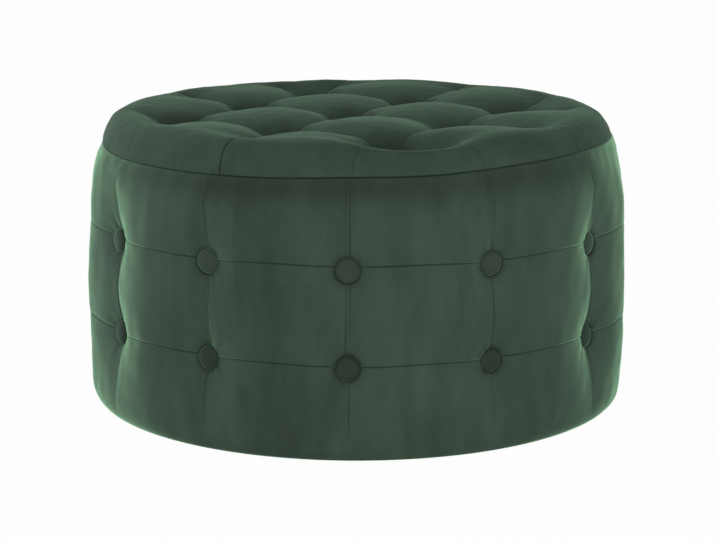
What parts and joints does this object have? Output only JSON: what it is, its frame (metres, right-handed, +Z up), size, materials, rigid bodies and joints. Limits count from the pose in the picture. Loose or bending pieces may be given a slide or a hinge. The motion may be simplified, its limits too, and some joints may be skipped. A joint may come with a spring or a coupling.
{
  "type": "pouf",
  "caption": "Round tufted pouf covered in velvet, with buttoned pillows round its side and on its crown, built on a wooden drum frame with glides underneath",
  "frame": {"origin": "on the floor, at the middle of the pouf's round base, in the plane of the glides' undersides", "axes": "+Z up, along the pouf's own axis; -Y to the front, where a side tuck with two buttons lies; +X to the right seen from the front"},
  "size_m": [0.6596, 0.6596, 0.358],
  "materials": {
    "velvet": "matte",
    "button_velvet": "matte",
    "foam": "matte",
    "plywood": "matte",
    "pine": "matte",
    "hardboard": "matte",
    "twine": "matte",
    "toggle": "matte",
    "dust_cloth": "matte",
    "glide": "satin",
    "zinc_steel": "satin"
  },
  "bodies": {
    "root": {"base_board": "plywood", "top_board": "plywood", "upright_1": "pine", "upright_2": "pine", "upright_3": "pine", "upright_4": "pine", "upright_5": "pine", "upright_6": "pine", "wall_panel_front": "hardboard", "wall_panel_back": "hardboard", "side_foam": "foam", "top_foam": "foam", "side_cover": "velvet", "top_cover": "velvet", "side_buttons_lower": "button_velvet", "side_buttons_upper": "button_velvet", "top_buttons": "button_velvet", "side_twines_lower": "twine", "side_twines_upper": "twine", "top_twines": "twine", "side_toggles_lower": "toggle", "side_toggles_upper": "toggle", "top_toggles": "toggle", "dust_cover": "dust_cloth", "glide_foot_1": "glide", "glide_foot_2": "glide", "glide_foot_3": "glide", "glide_foot_4": "glide", "glide_foot_5": "glide", "glide_foot_6": "glide", "base_board_screws": "zinc_steel", "top_board_screws": "zinc_steel", "glide_screws": "zinc_steel", "hem_staples": "zinc_steel", "dust_cover_staples": "zinc_steel", "wall_panel_staples": "zinc_steel"}
  },
  "joints": []
}
